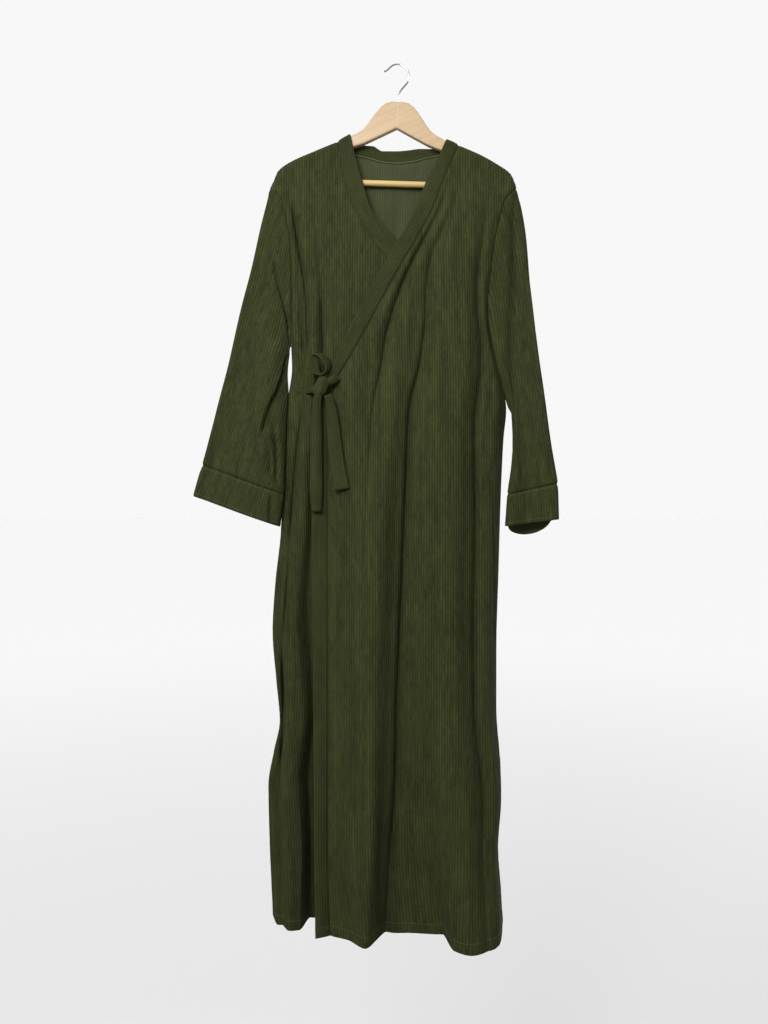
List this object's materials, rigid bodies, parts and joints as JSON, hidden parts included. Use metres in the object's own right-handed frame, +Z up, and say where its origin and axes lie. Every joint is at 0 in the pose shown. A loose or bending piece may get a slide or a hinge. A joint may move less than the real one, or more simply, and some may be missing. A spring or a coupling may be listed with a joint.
{
  "type": "abaya and hanger",
  "caption": "Long wide-wale corduroy wrap abaya with set-in sleeves, cuffs, neckband and side tie, hanging on a flat wooden hanger.",
  "frame": {"origin": "inner crown of the hanger's hook, where a rail or wall hook carries it", "axes": "+Z up, +X towards the viewer's right (the wearer's left), -Y towards the viewer, the garment's front"},
  "size_m": [0.6856, 0.1624, 1.6162],
  "materials": {
    "corduroy": "olive green wide-wale corduroy, matt with a soft nap",
    "pale_wood": "pale clear-lacquered wood",
    "steel": "bright plated wire"
  },
  "bodies": {
    "root": {"front_left": "corduroy", "front_right": "corduroy", "back": "corduroy", "sleeve_left": "corduroy", "sleeve_right": "corduroy", "cuff_left": "corduroy", "cuff_right": "corduroy", "band_left": "corduroy", "band_right": "corduroy", "band_back": "corduroy", "tie_knot": "corduroy", "tie_loop": "corduroy", "tie_tail_left": "corduroy", "tie_tail_right": "corduroy", "tie_strap_front": "corduroy", "tie_strap_side": "corduroy", "hanger_arm_left": "pale_wood", "hanger_arm_right": "pale_wood", "hanger_bar": "pale_wood", "hanger_hook": "steel"}
  },
  "joints": []
}
